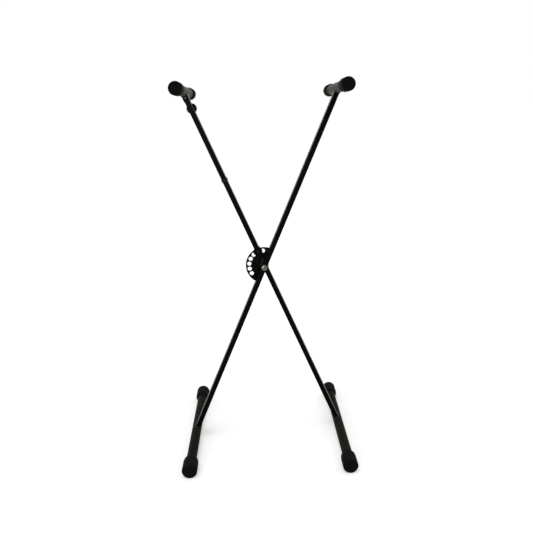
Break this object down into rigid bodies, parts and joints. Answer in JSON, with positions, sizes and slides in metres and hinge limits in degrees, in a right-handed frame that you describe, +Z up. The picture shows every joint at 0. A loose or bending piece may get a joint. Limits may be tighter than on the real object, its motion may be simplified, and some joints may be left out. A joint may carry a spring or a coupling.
{
  "type": "keyboard stand",
  "caption": "Folding X stand for a keyboard: two flat-sided legs on one bolt, round arms and floor tubes with rubber ends, and a spring pin in a perforated half disc.",
  "frame": {"origin": "on the floor, under the middle of the overall box", "axes": "+Z up, +X to the right in the picture and in the direction the legs spread, +Y away from the camera, along the arms and floor tubes"},
  "size_m": [0.4298, 0.451, 0.9279],
  "materials": {
    "black_paint": "semi-gloss black powder coat",
    "tube_paint": "gloss black powder coat",
    "black_rubber": "matte moulded rubber",
    "black_plastic": "moulded black plastic",
    "pale_nylon": "natural nylon",
    "zinc_plate": "zinc plate, gone slightly dull",
    "dark_steel": "blackened steel",
    "spring_steel": "spring steel"
  },
  "bodies": {
    "front_frame": {"front_leg": "black_paint", "right_arm_tube": "tube_paint", "right_arm_cap_near": "black_rubber", "right_arm_cap_far": "black_rubber", "left_floor_tube": "tube_paint", "left_foot_near": "black_rubber", "left_foot_far": "black_rubber", "lock_plate": "black_paint", "pivot_bolt": "zinc_plate", "pivot_head_washer": "black_paint", "pivot_rear_washer": "zinc_plate", "pivot_spacer": "pale_nylon", "pivot_lock_nut": "zinc_plate", "front_leg_sleeve": "zinc_plate"},
    "rear_frame": {"rear_leg": "black_paint", "left_arm_tube": "tube_paint", "left_arm_cap_near": "black_rubber", "left_arm_cap_far": "black_rubber", "right_floor_tube": "tube_paint", "right_foot_near": "black_rubber", "right_foot_far": "black_rubber", "rear_leg_sleeve": "zinc_plate", "arm_bracket": "black_paint", "bracket_screw": "zinc_plate", "hand_knob_washer": "dark_steel", "hand_knob_nut": "zinc_plate", "leg_band": "black_plastic", "pin_guide_ring": "black_paint", "pin_rear_bush": "zinc_plate"},
    "lock_pin": {"lock_pin": "dark_steel", "pull_knob": "black_plastic", "knob_cross_pin": "dark_steel", "pin_spring": "spring_steel"},
    "hand_knob": {"hand_knob": "black_plastic", "hand_knob_stud": "zinc_plate"}
  },
  "joints": [
    {"name": "fold", "type": "hinge", "parent": "front_frame", "child": "rear_frame", "pos_m": [0, 0, 0.47298], "axis": [0, -1, 0], "range_deg": [-41.8, 99]},
    {"name": "lock_pin_slide", "type": "slide", "parent": "rear_frame", "child": "lock_pin", "axis": [0, 1, 0], "range_m": [-0.0031, 0.002], "stiffness_N_per_m": 400, "springref_m": -0.012, "deforming": ["pin_spring"]},
    {"name": "hand_knob_turn", "type": "hinge", "parent": "rear_frame", "child": "hand_knob", "pos_m": [-0.17155, 0, 0.87131], "axis": [0, 1, 0], "range_deg": [-360, 360]}
  ]
}
